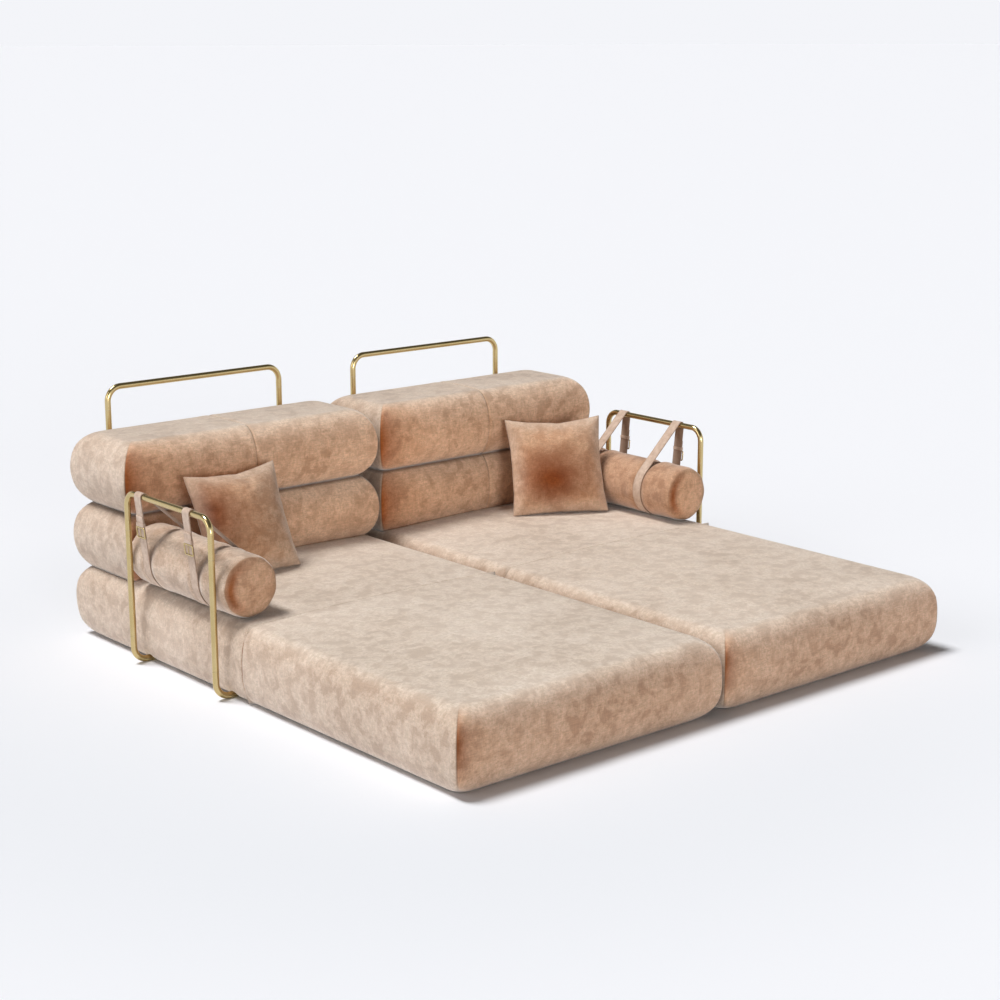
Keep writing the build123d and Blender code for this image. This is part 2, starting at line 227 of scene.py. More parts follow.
def velvet(name, dark, middle, pale, rich, shift, sheen, mottle):
    """Short pile velvet: crisp blotches where the pile lies another way, fine woven grain.

    Its point attributes draw fine dark seam lines with painted shade where parts touch, paint shade as
    a richer, darker pile colour, paint a pale sheen and light, and paint light where it faces the low lamp.
    """
    material, tree, place = new_material(name)
    moved = tree.add("ShaderNodeVectorMath", operation="ADD")
    tree.put(moved.inputs[0], place)
    moved.inputs[1].default_value = shift
    place = moved.outputs[0]
    blotch = tree.noise(place, 21.0, 9.0, 0.64, 0.3)
    cloud = tree.noise(place, 3.2, 3.0, 0.5, 0.2)
    speck = tree.noise(place, 95.0, 4.0, 0.70)
    long_x = tree.noise(tree.stretched(place, (34, 260, 260)), 1.0, 3.0, 0.65)
    long_z = tree.noise(tree.stretched(place, (260, 260, 30)), 1.0, 3.0, 0.65)
    flat = tree.noise(tree.stretched(place, (40, 40, 300)), 1.0, 3.0, 0.65)
    threads = tree.math("ADD", tree.math("ADD", long_x, long_z), flat)
    tone = tree.math("MULTIPLY_ADD", tree.ramp(blotch, 0.40, 0.60), 0.64,
                     tree.math("MULTIPLY", tree.ramp(cloud, 0.35, 0.65), 0.27))
    tone = tree.math("MULTIPLY_ADD", tree.ramp(speck, 0.38, 0.62), 0.09, tone)
    colour = tree.mix(tree.ramp(tone, 0.0, 0.50), dark, middle)
    colour = tree.mix(tree.ramp(tone, 0.42, 0.95), colour, pale)
    grain = tree.math("MULTIPLY_ADD", threads, 0.42, 0.37)
    colour = tree.mix(1.0, colour, grain, "MULTIPLY")
    # Painted shade: first a warmer, darker tint, then the deepest shade colour where it is strongest
    deep = tree.add("ShaderNodeAttribute", attribute_name="deep").outputs["Fac"]
    first = tree.math("MULTIPLY", deep, 2.5, clamp=True)
    colour = tree.mix(first, colour, tree.mix(1.0, colour, panel_tint, "MULTIPLY"))
    second = tree.math("MULTIPLY_ADD", deep, 1 / 0.6, -0.4 / 0.6, clamp=True)
    colour = tree.mix(second, colour, tree.mix(1.0, colour, rich, "MULTIPLY"))
    # Painted sheen and light: a pale colour on tops and lit sides
    fair = tree.add("ShaderNodeAttribute", attribute_name="fair").outputs["Fac"]
    colour = tree.mix(fair, colour, tree.mix(tone, fair_dark, fair_pale))
    # Painted light where the surface faces the low lamp
    glow = tree.add("ShaderNodeAttribute", attribute_name="glow").outputs["Fac"]
    colour = tree.mix(glow, colour, tree.mix(1.0, colour, glow_tint, "MULTIPLY"))
    rubbed = tree.math("MULTIPLY", tree.ramp(tree.math("MULTIPLY", blotch, speck), 0.255, 0.315), mottle)
    colour = tree.mix(rubbed, colour, tree.mix(1.0, colour, rub_tint, "MULTIPLY"))
    # Dark seam lines, and painted shade where parts touch
    seam = tree.add("ShaderNodeAttribute", attribute_name="seam").outputs["Fac"]
    colour = tree.mix(tree.math("MULTIPLY", seam, 0.9), colour, rgb(0.14, 0.07, 0.035))
    normal = tree.bump(blotch, 0.0014, 0.6)
    normal = tree.bump(speck, 0.0005, 0.6, normal)
    normal = tree.bump(threads, 0.0004, 0.6, normal)
    shader = tree.principled(Base_Color=colour, Roughness=0.92, Normal=normal)
    shader.inputs["Specular IOR Level"].default_value = 0.10
    shader.inputs["Sheen Weight"].default_value = sheen
    shader.inputs["Sheen Roughness"].default_value = 0.42
    shader.inputs["Sheen Tint"].default_value = rgb(1.0, 0.99, 0.97)
    return material


def suede(name, dark, pale):
    """Strap suede with a nap and darker edges."""
    material, tree, place = new_material(name)
    nap = tree.noise(place, 60.0, 5.0, 0.6)
    grain = tree.noise(place, 900.0, 3.0, 0.6)
    colour = tree.mix(tree.ramp(nap, 0.3, 0.7), dark, pale)
    colour = tree.mix(0.25, colour, grain, "OVERLAY")
    seam = tree.add("ShaderNodeAttribute", attribute_name="seam").outputs["Fac"]
    colour = tree.mix(tree.math("MULTIPLY", seam, 0.60), colour, rgb(0.20, 0.11, 0.065))
    normal = tree.bump(grain, 0.0003, 0.6)
    shader = tree.principled(Base_Color=colour, Roughness=0.85, Normal=normal)
    shader.inputs["Specular IOR Level"].default_value = 0.2
    shader.inputs["Sheen Weight"].default_value = 0.6
    shader.inputs["Sheen Roughness"].default_value = 0.4
    shader.inputs["Sheen Tint"].default_value = rgb(1.0, 0.93, 0.86)
    return material


def metal(name, colour, shade, low, high, scratch):
    """Drawn tube: fine scratches, faint clouds in colour and polish."""
    material, tree, place = new_material(name)
    cloud = tree.noise(place, 14.0, 4.0, 0.6)
    fine = tree.noise(tree.stretched(place, (600, 600, 600)), 1.0, 4.0, 0.7)
    base = tree.mix(tree.ramp(cloud, 0.35, 0.75), colour, shade)
    polish = tree.math("MULTIPLY_ADD", cloud, high - low, low)
    polish = tree.math("MULTIPLY_ADD", fine, scratch, polish, clamp=True)
    normal = tree.bump(fine, 0.00004, 0.4)
    tree.principled(Base_Color=base, Metallic=1.0, Roughness=polish, Normal=normal)
    return material


# The fourth colour of each velvet is its deepest painted shade
velvet_material = velvet(
    "velvet", rgb(0.45, 0.305, 0.215), rgb(0.60, 0.44, 0.33), rgb(0.71, 0.55, 0.435),
    rgb(0.50, 0.24, 0.10), (0, 0, 0), 0.7, 0.9)
pillow_material = velvet(
    "pillow_velvet", rgb(0.46, 0.28, 0.175), rgb(0.58, 0.385, 0.265), rgb(0.68, 0.485, 0.355),
    rgb(0.40, 0.17, 0.065), (4.1, 2.3, 0.7), 0.45, 0.8)
strap_material = suede("strap", rgb(0.53, 0.38, 0.29), rgb(0.66, 0.51, 0.41))
stitch_material = suede("thread", rgb(0.44, 0.30, 0.21), rgb(0.56, 0.41, 0.31))
brass_material = metal("brass", rgb(0.62, 0.49, 0.25), rgb(0.56, 0.43, 0.20), 0.12, 0.20, 0.10)
steel_material = metal("steel", rgb(0.62, 0.62, 0.63), rgb(0.52, 0.52, 0.53), 0.25, 0.40, 0.15)


def smoothstep(value):
    value = np.clip(value, 0.0, 1.0)
    return value * value * (3 - 2 * value)


def bell(distance, width):
    """1 at distance 0, fading to both sides."""
    return np.exp(-(distance / width) ** 2)


def mesh_object(name, points, faces, material, body, slot, **attributes):
    """A piece that rides on a body, with the point attributes that its material reads."""
    mesh = bpy.data.meshes.new(name)
    mesh.from_pydata([tuple(p) for p in points], [], [tuple(f) for f in faces])
    mesh.update()
    mesh.polygons.foreach_set("use_smooth", np.ones(len(mesh.polygons), bool))
    for label, values in attributes.items():
        layer = mesh.attributes.new(label, "FLOAT", "POINT")
        layer.data.foreach_set("value", np.asarray(values, np.float32))
    mesh.materials.append(material)
    piece = bpy.data.objects.new(name, mesh)
    scene.collection.objects.link(piece)
    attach(piece, body)
    return piece


def flipped(points, faces, side):
    """Mirrored to the left side, or as they are on the right."""
    points = np.array(points, float)
    if side == "left":
        points = points * np.array([-1, 1, 1])
        faces = [tuple(f)[::-1] for f in faces]
    return points, faces


def tube_faces(rings, size, first=0, closed=False, turned=False):
    """Faces between successive rings of points."""
    faces = []
    for n in range(rings if closed else rings - 1):
        low, high = first + n * size, first + (n + 1) % rings * size
        for s in range(size):
            t = (s + 1) % size
            if turned:
                faces.append((low + s, high + s, high + t, low + t))
            else:
                faces.append((low + s, low + t, high + t, high + s))
    return faces


def underside(distance, base, height, reach, power):
    """Height of a pad's underside at a distance in from its outline."""
    part = 1 - np.clip(distance / reach, 0, 1)
    return base + height / 2 * (1 - (1 - part ** power) ** (1 / power))


def columns(length, seams=()):
    """Places along a side, close together at both corners and at its seams."""
    near = np.array([0, 0.0022, 0.0045, 0.008, 0.013, 0.021, 0.034, 0.052])
    marks = [near, length - near[::-1]]
    for place in seams:
        step = near[1:6]
        marks.append(place + np.concatenate((-step[::-1], [0], step)))
    fixed = np.unique(np.concatenate(marks))
    out = []
    for low, high in zip(fixed[:-1], fixed[1:]):
        count = max(1, int(round((high - low) / 0.016)))
        out.extend(np.linspace(low, high, count + 1)[:-1])
    out.append(fixed[-1])
    return np.array(out) / length


def pad_rows(height, reach, power, count=22):
    """Insets and rises of a bulging side, evenly spread along its curve."""
    angle = np.linspace(-math.pi / 2, math.pi / 2, count + 1)
    share = np.sign(np.sin(angle)) * np.abs(np.sin(angle)) ** (2 / power)
    inset = reach * (1 - np.abs(np.cos(angle)) ** (2 / power))
    return inset, height * (1 + share) / 2


def square_rows(height, low_round, high_round, count=22):
    """Insets and rises of the flat end at the fold, with rounded edges."""
    angle = np.linspace(0, math.pi / 2, 6)
    low = [(low_round * (1 - math.sin(a)), low_round * (1 - math.cos(a))) for a in angle]
    flat = [(0.0, z) for z in np.linspace(low_round, height - high_round, count - 9)[1:-1]]
    high = [(high_round * (1 - math.sin(a)), height - high_round * (1 - math.cos(a))) for a in angle[::-1]]
    rows = np.array(low + flat + high)
    return rows[:, 0], rows[:, 1]


def pad_points(x_range, y_range, base, height, crown, reach, power, seams=(), square=None):
    """Grid of a crowned pad with mitred corners: points, faces, each point's place in it, and its measures.

    seams are places along X with a sewn channel; square is "front" or "back" for the end at the fold.
    """
    (x0, x1), (y0, y1) = x_range, y_range
    u = columns(x1 - x0, seams)
    v = columns(y1 - y0)
    inset, rise = pad_rows(height, reach, power)
    square_inset, square_rise = square_rows(height, 0.006, 0.0010)
    count = len(inset)
    index = {}
    points = []

    def end_curves(k):
        ends = {"front": (inset[k], rise[k]), "back": (inset[k], rise[k])}
        if square:
            ends[square] = (square_inset[k], square_rise[k])
        return ends

    def point(i, j, k):
        """i along X, j along Y, k up; only points on the skin are asked for."""
        key = (i, j, k)
        if key in index:
            return index[key]
        ends = end_curves(k)
        front_inset, front_rise = ends["front"]
        back_inset, back_rise = ends["back"]
        xs = x0 + inset[k] + u[i] * (x1 - x0 - 2 * inset[k])
        low, high = y0 + front_inset, y1 - back_inset
        ys = low + v[j] * (high - low)
        z = rise[k]
        if j == 0 and 0 < i < len(u) - 1:
            z = front_rise
        if j == len(v) - 1 and 0 < i < len(u) - 1:
            z = back_rise
        index[key] = len(points)
        points.append((xs, ys, base + z))
        return index[key]

    faces = []
    last_u, last_v = len(u) - 1, len(v) - 1
    for i in range(last_u):
        for j in range(last_v):
            low = [point(i, j, 0), point(i, j + 1, 0), point(i + 1, j + 1, 0), point(i + 1, j, 0)]
            high = [point(i, j, count - 1), point(i + 1, j, count - 1),
                    point(i + 1, j + 1, count - 1), point(i, j + 1, count - 1)]
            faces += [low, high]
    for k in range(count - 1):
        for i in range(last_u):
            faces.append([point(i, 0, k), point(i + 1, 0, k), point(i + 1, 0, k + 1), point(i, 0, k + 1)])
            faces.append([point(i + 1, last_v, k), point(i, last_v, k),
                          point(i, last_v, k + 1), point(i + 1, last_v, k + 1)])
        for j in range(last_v):
            faces.append([point(0, j + 1, k), point(0, j, k), point(0, j, k + 1), point(0, j + 1, k + 1)])
            faces.append([point(last_u, j, k), point(last_u, j + 1, k),
                          point(last_u, j + 1, k + 1), point(last_u, j, k + 1)])
    points = np.array(points)
    keys = np.array(list(index))
    across = 2 * (points[:, 0] - x0 - reach) / (x1 - x0 - 2 * reach) - 1
    from_ends = []
    for name, gap in (("front", points[:, 1] - y0), ("back", y1 - points[:, 1])):
        from_ends.append(np.ones(len(points)) if name == square else smoothstep((gap - reach * 0.6) / 0.16))
    high = keys[:, 2] == count - 1
    points[:, 2] += high * crown * np.clip(1 - across ** 2, 0, 1) * from_ends[0] * from_ends[1]
    points = round_corners(points, keys[:, 2], (inset, rise), x_range, y_range, height, square,
                           pad_corner if seams else mattress_corner)
    side = np.minimum(keys[:, 0], last_u - keys[:, 0])
    end = np.minimum(keys[:, 1], last_v - keys[:, 1])
    return points, faces, keys, (u, v, count, side, end)


def round_corners(points, levels, curve, x_range, y_range, height, square, corner_radius):
    """Corners are sharp half way up, where the mitre seam is, and round in plan above and below it."""
    inset, rise = curve[0][levels], curve[1][levels]
    (x0, x1), (y0, y1) = x_range, y_range
    left, right = points[:, 0] - x0 - inset, x1 - inset - points[:, 0]
    front, back = points[:, 1] - y0 - inset, y1 - inset - points[:, 1]
    gap_x, gap_y = np.maximum(np.minimum(left, right), 0), np.maximum(np.minimum(front, back), 0)
    sign_x, sign_y = np.where(left < right, 1, -1), np.where(front < back, 1, -1)
    radius = corner_radius * np.abs(2 * rise / height - 1) ** 3.5
    if square == "front":
        radius = np.where(front < back, 0, radius)
    if square == "back":
        radius = np.where(front < back, radius, 0)
    ring = np.minimum(gap_x, gap_y)
    along = np.maximum(gap_x, gap_y) - ring
    small = np.maximum(radius - ring, 0)
    inside = along < small
    angle = math.pi / 4 * (1 - np.where(inside, along, 0) / np.maximum(small, 1e-9))
    far, near = radius - small * np.sin(angle), radius - small * np.cos(angle)
    new_x, new_y = np.where(gap_x <= gap_y, near, far), np.where(gap_x <= gap_y, far, near)
    points = points.copy()
    points[:, 0] += np.where(inside, sign_x * (new_x - gap_x), 0)
    points[:, 1] += np.where(inside, sign_y * (new_y - gap_y), 0)
    return points


def soft_noise(points, scale, amount, seed):
    """Gentle lumps, one value a point."""
    shift = Vector((seed * 7.3, seed * 3.1, seed * 5.7))
    return amount * np.array([noise.noise(Vector(p) * scale + shift) for p in points])


def make_pad(side, name, nodes_replaced, body, y_range, base, form, seed,
             channel=None, square=None, press=None, contacts=()):
    """A cover and its foam as one pad, shaped on the right side and mirrored for the left.

    press moves its points to what it lies on; contacts are the heights where another pad touches it.
    """
    mirror = -1 if side == "left" else 1
    height, crown, reach, power = form
    points, faces, keys, (u, v, count, near_x, near_y) = pad_points(
        pad_xs, y_range, base, height, crown, reach, power, [channel] if channel else [], square)
    (x0, x1), (y0, y1) = pad_xs, y_range
    middle = np.array([(x0 + x1) / 2, (y0 + y1) / 2, base + height / 2])
    edge = np.zeros(len(points))

    # Mitred corner seams: how far a side point lies from its corner's crease
    on_side = (keys[:, 2] > 0) & (keys[:, 2] < count - 1)
    u_length, v_length = u * (x1 - x0), v * (y1 - y0)
    from_x = np.minimum(u_length[keys[:, 0]], (x1 - x0) - u_length[keys[:, 0]])
    from_y = np.minimum(v_length[keys[:, 1]], (y1 - y0) - v_length[keys[:, 1]])
    near = np.where((near_y == 0), from_x, from_y)
    level_share = keys[:, 2] / (count - 1)
    fade = np.clip(np.sin(math.pi * level_share), 0, 1) ** 1.6
    if square == "front":
        near = np.where(keys[:, 1] < len(v) // 2, 1.0, near)
    if square == "back":
        near = np.where(keys[:, 1] > len(v) // 2, 1.0, near)
    groove = bell(near, corner_groove) * fade * on_side
    puff = bell(near - corner_puff_place, corner_puff) * fade * on_side
    edge = np.maximum(edge, 0.8 * bell(near, corner_line) * fade * on_side)
    diagonal = np.sign(points - middle) * np.array([0.7071, 0.7071, 0])
    points = points - diagonal * (corner_groove_deep * groove)[:, None]
    facing = np.zeros_like(points)
    facing[near_x == 0, 0] = np.sign(points[near_x == 0, 0] - middle[0])
    facing[near_y == 0, 1] = np.sign(points[near_y == 0, 1] - middle[1])
    points = points + facing * (corner_puff_high * puff)[:, None]

    # Sewn channel round a back pad
    if channel:
        away = np.abs(points[:, 0] - (x0 + channel))
        cut = channel_groove_deep * bell(away, channel_groove)
        normal_z = np.where(keys[:, 2] == 0, 1.0, np.where(keys[:, 2] == count - 1, -1.0, 0.0))
        side_share = np.sin(math.pi * (level_share - 0.5))
        points[:, 2] -= cut * np.where(on_side, side_share, -normal_z)
        points -= facing * (cut * np.cos(math.pi * (level_share - 0.5)))[:, None] * on_side[:, None]
        swell = bell(away - channel_swell_place, channel_swell)
        points[:, 2] += channel_swell_high * swell * np.where(on_side, side_share, -normal_z)
        upper = np.clip(1.6 * level_share - 0.5, 0.15, 1)
        edge = np.maximum(edge, 0.8 * bell(away, channel_line) * upper)

    # Painted shade: dark lines where pads touch and a darker inner side between the modules; a crease at the
    # fold with a faint dark line
    for level in contacts:
        edge = np.maximum(edge, 0.85 * bell(points[:, 2] - level, contact_line) * on_side)
    if square:
        away = np.abs(points[:, 1] - fold_y)
        points -= facing * (fold_crease_deep * bell(away, fold_crease))[:, None] * (near_x == 0)[:, None]
        edge = np.maximum(edge, 0.30 * bell(away, fold_line) * (near_x == 0) * on_side * fade)
    hollow = (keys[:, 0] == 0) * np.clip(1.5 * np.sin(math.pi * level_share) - 0.5, 0, 1) ** 2
    edge = np.maximum(edge, 0.5 * hollow)

    # Lumps of the foam under the cover, none at the rims and the fold
    lumps = soft_noise(points, 5.0, 0.0024, seed) + soft_noise(points, 13.0, 0.0010, seed + 3)
    top = keys[:, 2] == count - 1
    margin = np.minimum.reduce([points[:, 0] - x0, x1 - points[:, 0],
                                points[:, 1] - y0, y1 - points[:, 1]])
    points[:, 2] += lumps * top * smoothstep((margin - reach * 0.9) / 0.09)
    calm = smoothstep(np.abs(points[:, 1] - fold_y) / 0.10) if square else 1.0
    points += facing * (lumps * calm * on_side * np.sin(math.pi * level_share))[:, None]
    # Painted shade on the front panels
    front = (near_y == 0) & (keys[:, 1] < len(v) // 2)
    deep = deep_pile(points, pad_xs, mirror, front, level_share, channel)

    # The squashed seat, with a painted dark line of shade round its rim
    if press:
        before = points[:, 2].copy()
        points = press(points)
        depth = before - points[:, 2]
        if square:
            edge = np.maximum(edge, 0.9 * (top & (depth > 0.0004) & (depth < 0.007)))
    points, faces = flipped(points, faces, side)
    # Painted sheen and light: paler tops and sides, paler on the left module than the right; painted light on
    # the front panels, which face the low lamp
    upper = np.where(top, 1.0, smoothstep((level_share - 0.60) / 0.40))
    fair = (0.24 if channel else 0.50) * upper * (1 - deep)
    fair = np.maximum(fair, 0.16 * (near_x == 0)) * (1.12 if side == "left" else 0.9)
    glow = front * np.sin(math.pi * level_share) ** 0.7 * (1.0 if channel else 0.22)
    piece = mesh_object(f"{side}_{name}", points, faces, velvet_material, body, "velvet",
                        seam=edge, deep=deep, fair=fair, glow=glow)
    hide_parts(*[f"{side}_{node}" for node in nodes_replaced])


def deep_pile(points, x_range, mirror, front, level_share, tall):
    """Painted shade on the front panels: a richer, darker colour, most of all at their left ends."""
    x0, x1 = x_range
    from_left = points[:, 0] - x0 if mirror > 0 else x1 - points[:, 0]
    if tall:
        profile = np.clip(1.6 * np.sin(math.pi * level_share), 0, 1) ** 0.8
        corner = np.exp(-from_left / 0.11)
    else:
        profile = np.exp(-((level_share - 0.66) / 0.27) ** 2)
        corner = np.exp(-from_left / 0.045)
    panel = np.sin(math.pi * level_share) ** 1.5
    return front * np.clip((0.22 if tall else 0.32) * panel + 0.85 * corner * profile, 0, 1)


def press_rear(points):
    """The seat under the stack is squashed to the middle pad's underside."""
    inside = np.minimum.reduce([points[:, 0] - pad_xs[0], pad_xs[1] - points[:, 0],
                                points[:, 1] - stack_front, stack_back - points[:, 1]])
    limit = underside(np.clip(inside, 0, 1), middle_base, pad_side, pad_reach, pad_power)
    limit = np.maximum(limit, middle_low) - 0.0012
    limit = np.where(inside > 0, limit, 1.0)
    points[:, 2] = np.minimum(points[:, 2], limit)
    return lift_feet(points)


def lift_feet(points):
    """The underside is lifted over the foot tubes."""
    runs = [((arm_foot_xs[0], y), (arm_foot_xs[1], y)) for y in arm_foot_ys]
    runs.append(((arm_foot_xs[0], arm_foot_ys[0]), (arm_foot_xs[0], arm_foot_ys[1])))
    runs += [((x, back_foot_ys[0]), (x, back_foot_ys[1])) for x in back_foot_xs]
    runs.append(((back_foot_xs[0], back_foot_ys[0]), (back_foot_xs[1], back_foot_ys[0])))
    away = np.full(len(points), 1.0)
    for (ax, ay), (bx, by) in runs:
        start, along = np.array([ax, ay]), np.array([bx - ax, by - ay])
        share = np.clip(((points[:, :2] - start) @ along) / (along @ along), 0, 1)
        away = np.minimum(away, np.linalg.norm(points[:, :2] - start - share[:, None] * along, axis=1))
    lift = foot_lift * smoothstep((0.030 - away) / 0.019)
    points[:, 2] = np.maximum(points[:, 2], lift)
    return points


def press_middle(points):
    """The middle pad is flat where the mattress and the top pad touch it."""
    points[:, 2] = np.clip(points[:, 2], middle_low, middle_high)
    return points


def press_top(points):
    """The top pad is flat where it lies on the middle one."""
    points[:, 2] = np.maximum(points[:, 2], top_low)
    return points


for side in ("left", "right"):
    seed = 1 if side == "right" else 11
    make_pad(side, "mattress_rear_pad", ("mattress_rear_cover", "mattress_rear_foam"), "base",
             (fold_y + fold_gap / 2, stack_back), 0.0, mattress_form, seed,
             square="front", press=press_rear)
    make_pad(side, "mattress_front_pad", ("mattress_front_cover", "mattress_front_foam"),
             f"{side}_mattress_front", (mattress_end, fold_y - fold_gap / 2), 0.0, mattress_form,
             seed + 1, square="back")
    make_pad(side, "middle_back_pad", ("middle_pad_cover", "middle_pad_foam"), f"{side}_middle_pad",
             (stack_front, stack_back), middle_base, pad_form, seed + 2,
             channel=channel_place, press=press_middle, contacts=(middle_low, middle_high))
    make_pad(side, "top_back_pad", ("top_pad_cover", "top_pad_foam"), f"{side}_top_pad",
             (stack_front, stack_back), top_base, pad_form, seed + 3,
             channel=channel_place, press=press_top, contacts=(top_low,))


def bolster_stations(seam_radius):
    """Places along the bolster and its radius there: a domed disc, a round edge, the tube and back."""
    disc_rim = bolster_front + disc_dome
    stations = [(bolster_front + disc_dome * share ** 2.2, seam_radius * share)
                for share in np.linspace(0, 1, 13)]
    for reach in (0.0016, 0.004, 0.008, 0.014, disc_round, 0.034, bolster_shoulder):
        share = min(1.0, reach / disc_round)
        stations.append((disc_rim + reach, seam_radius + disc_seam_drop * (1 - (1 - share) ** 2)))
    front_end = list(stations)
    straight = bolster_length - 2 * (disc_dome + bolster_shoulder)
    stations += [(disc_rim + bolster_shoulder + s, bolster_radius)
                 for s in np.linspace(0, straight, 56)[1:-1]]
    stations += [(2 * bolster_front + bolster_length - y, r) for y, r in front_end[::-1]]
    return stations


def make_bolster(side):
    """Round bolster: end discs sewn to the tube, dented where the straps hold it."""
    ring = 96
    seam_radius = bolster_radius - disc_seam_drop
    stations = bolster_stations(seam_radius)
    points, seam, deep, glow = [], [], [], []
    for y, radius in stations:
        from_front = y - bolster_front - disc_dome
        near = min(abs(from_front), abs(bolster_front + bolster_length - disc_dome - y))
        on_front_disc = from_front < 0.0001
        local = radius
        if radius > 0.09:
            for place in strap_ys:
                off = abs(y - place)
                local += 0.0022 * bell(off - 0.040, 0.016)
                local -= 0.0036 * smoothstep((0.029 - off) / 0.010)
        for n in range(ring):
            angle = 2 * math.pi * n / ring
            waved = local + 0.0007 * math.sin(9 * angle + 40 * y) * bell(near, 0.02)
            points.append((bolster_x + waved * math.cos(angle), y, bolster_z + waved * math.sin(angle)))
            # Dark lines at the disc seams, and painted shade on the underside where it lies near the mattress
            line = 0.35 * bell(near, 0.0022) if radius > 0.07 else 0.0
            drop = (0.264 - bolster_z - local * math.sin(angle)) / 0.014
            seam.append(max(line, 0.9 * smoothstep(drop)))
            # Painted shade on the front disc, strongest in a crescent at its left rim, and over the whole
            # right bolster; painted light on the front disc
            leftness = math.cos(angle) * (1 if side == "left" else -1)
            rim = bell(radius / seam_radius - 0.80, 0.17) * max(0.0, leftness) ** 1.2
            if on_front_disc:
                deep.append(min(1.0, 0.40 + 0.60 * rim))
                glow.append(0.9 if side == "right" else 0.3)
            else:
                deep.append(0.50 if side == "right" else 0.0)
                glow.append(0.0)
    points, faces = flipped(points, tube_faces(len(stations), ring), side)
    points[:, 2] = np.maximum(points[:, 2], bolster_rest)
    piece = mesh_object(f"{side}_bolster_roll", points, faces, velvet_material, f"{side}_bolster",
                        "velvet", seam=seam, deep=deep, glow=glow)
    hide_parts(f"{side}_bolster_cover", f"{side}_bolster_filling")


span = math.hypot(arm_x - bolster_x, bar_z - bolster_z)
centre_lean = math.atan2(arm_x - bolster_x, bar_z - bolster_z)
belt_lean = math.asin((belt_radius - tube_radius) / span)
outer_lean, inner_lean = centre_lean - belt_lean, centre_lean + belt_lean


def belt_path(offset):
    """Closed path of a strap's middle layer round bar and bolster, in the XZ plane, with its normals."""
    outer = math.atan2(-math.sin(outer_lean), math.cos(outer_lean))
    inner = math.atan2(math.sin(inner_lean), -math.cos(inner_lean))
    path = []
    for angle in np.linspace(outer, inner, 13):
        path.append((arm_x, bar_z, tube_radius + offset, angle))
    for angle in np.linspace(inner, outer + 2 * math.pi, 57):
        path.append((bolster_x, bolster_z, belt_radius + offset, angle))
    points = [(x + r * math.cos(a), z + r * math.sin(a)) for x, z, r, a in path]
    normals = [(math.cos(a), math.sin(a)) for x, z, r, a in path]
    dense_points, dense_normals = [], []
    total = len(points)
    for n in range(total):
        p, q = np.array(points[n]), np.array(points[(n + 1) % total])
        a, b = np.array(normals[n]), np.array(normals[(n + 1) % total])
        count = max(1, int(round(np.linalg.norm(q - p) / 0.008)))
        for step in range(count):
            share = step / count
            dense_points.append(p + (q - p) * share)
            dense_normals.append((a + (b - a) * share) / np.linalg.norm(a + (b - a) * share))
    return np.array(dense_points), np.array(dense_normals)


def strip(path, normals, y, width, thickness, closed):
    """A bevelled ribbon along a path in the XZ plane."""
    half, thick, bevel = width / 2, thickness / 2, min(0.0009, thickness / 3)
    inner = half - 0.0026
    section = [(-half + bevel, thick), (-inner, thick), (inner, thick), (half - bevel, thick),
               (half, thick - bevel), (half, bevel - thick),
               (half - bevel, -thick), (bevel - half, -thick), (-half, bevel - thick), (-half, thick - bevel)]
    points = []
    for (x, z), (nx, nz) in zip(path, normals):
        for across, out in section:
            points.append((x + nx * out, y + across, z + nz * out))
    size, count = len(section), len(path)
    faces = tube_faces(count, size, closed=closed)
    if not closed:
        faces.append(tuple(range(size))[::-1])
        faces.append(tuple((count - 1) * size + s for s in range(size)))
    return points, faces


def stitches(path, normals, y, inset, width, lift, pitch=0.0062, length=0.0042, radius=0.00045):
    """Two rows of thread stitches along a ribbon's outer face."""
    points, faces = [], []
    steps = np.linalg.norm(np.diff(path, axis=0), axis=1)
    run = np.concatenate(([0], np.cumsum(steps)))
    for start in np.arange(pitch, run[-1] - pitch, pitch):
        ends = []
        for place in (start, start + length / 2, start + length):
            n = min(int(np.searchsorted(run, place)) - 1, len(path) - 2)
            share = (place - run[n]) / steps[n]
            p = path[n] + (path[n + 1] - path[n]) * share
            q = normals[n] + (normals[n + 1] - normals[n]) * share
            ends.append((p, q / np.linalg.norm(q)))
        for sign in (-1, 1):
            first = len(points)
            row_y = y + sign * (width / 2 - inset)
            for (p, q), size, rise in zip(ends, (0.35, 1.0, 0.35), (0.0, 0.3, 0.0)):
                for angle in np.linspace(0, 2 * math.pi, 6, endpoint=False):
                    out = lift + radius * (rise + size * math.sin(angle))
                    across = radius * size * math.cos(angle)
                    points.append((p[0] + q[0] * out, row_y + across, p[1] + q[1] * out))
            faces += tube_faces(3, 6, first)
            faces.append(tuple(first + s for s in range(6)))
            faces.append(tuple(first + 12 + s for s in range(6))[::-1])
    return points, faces


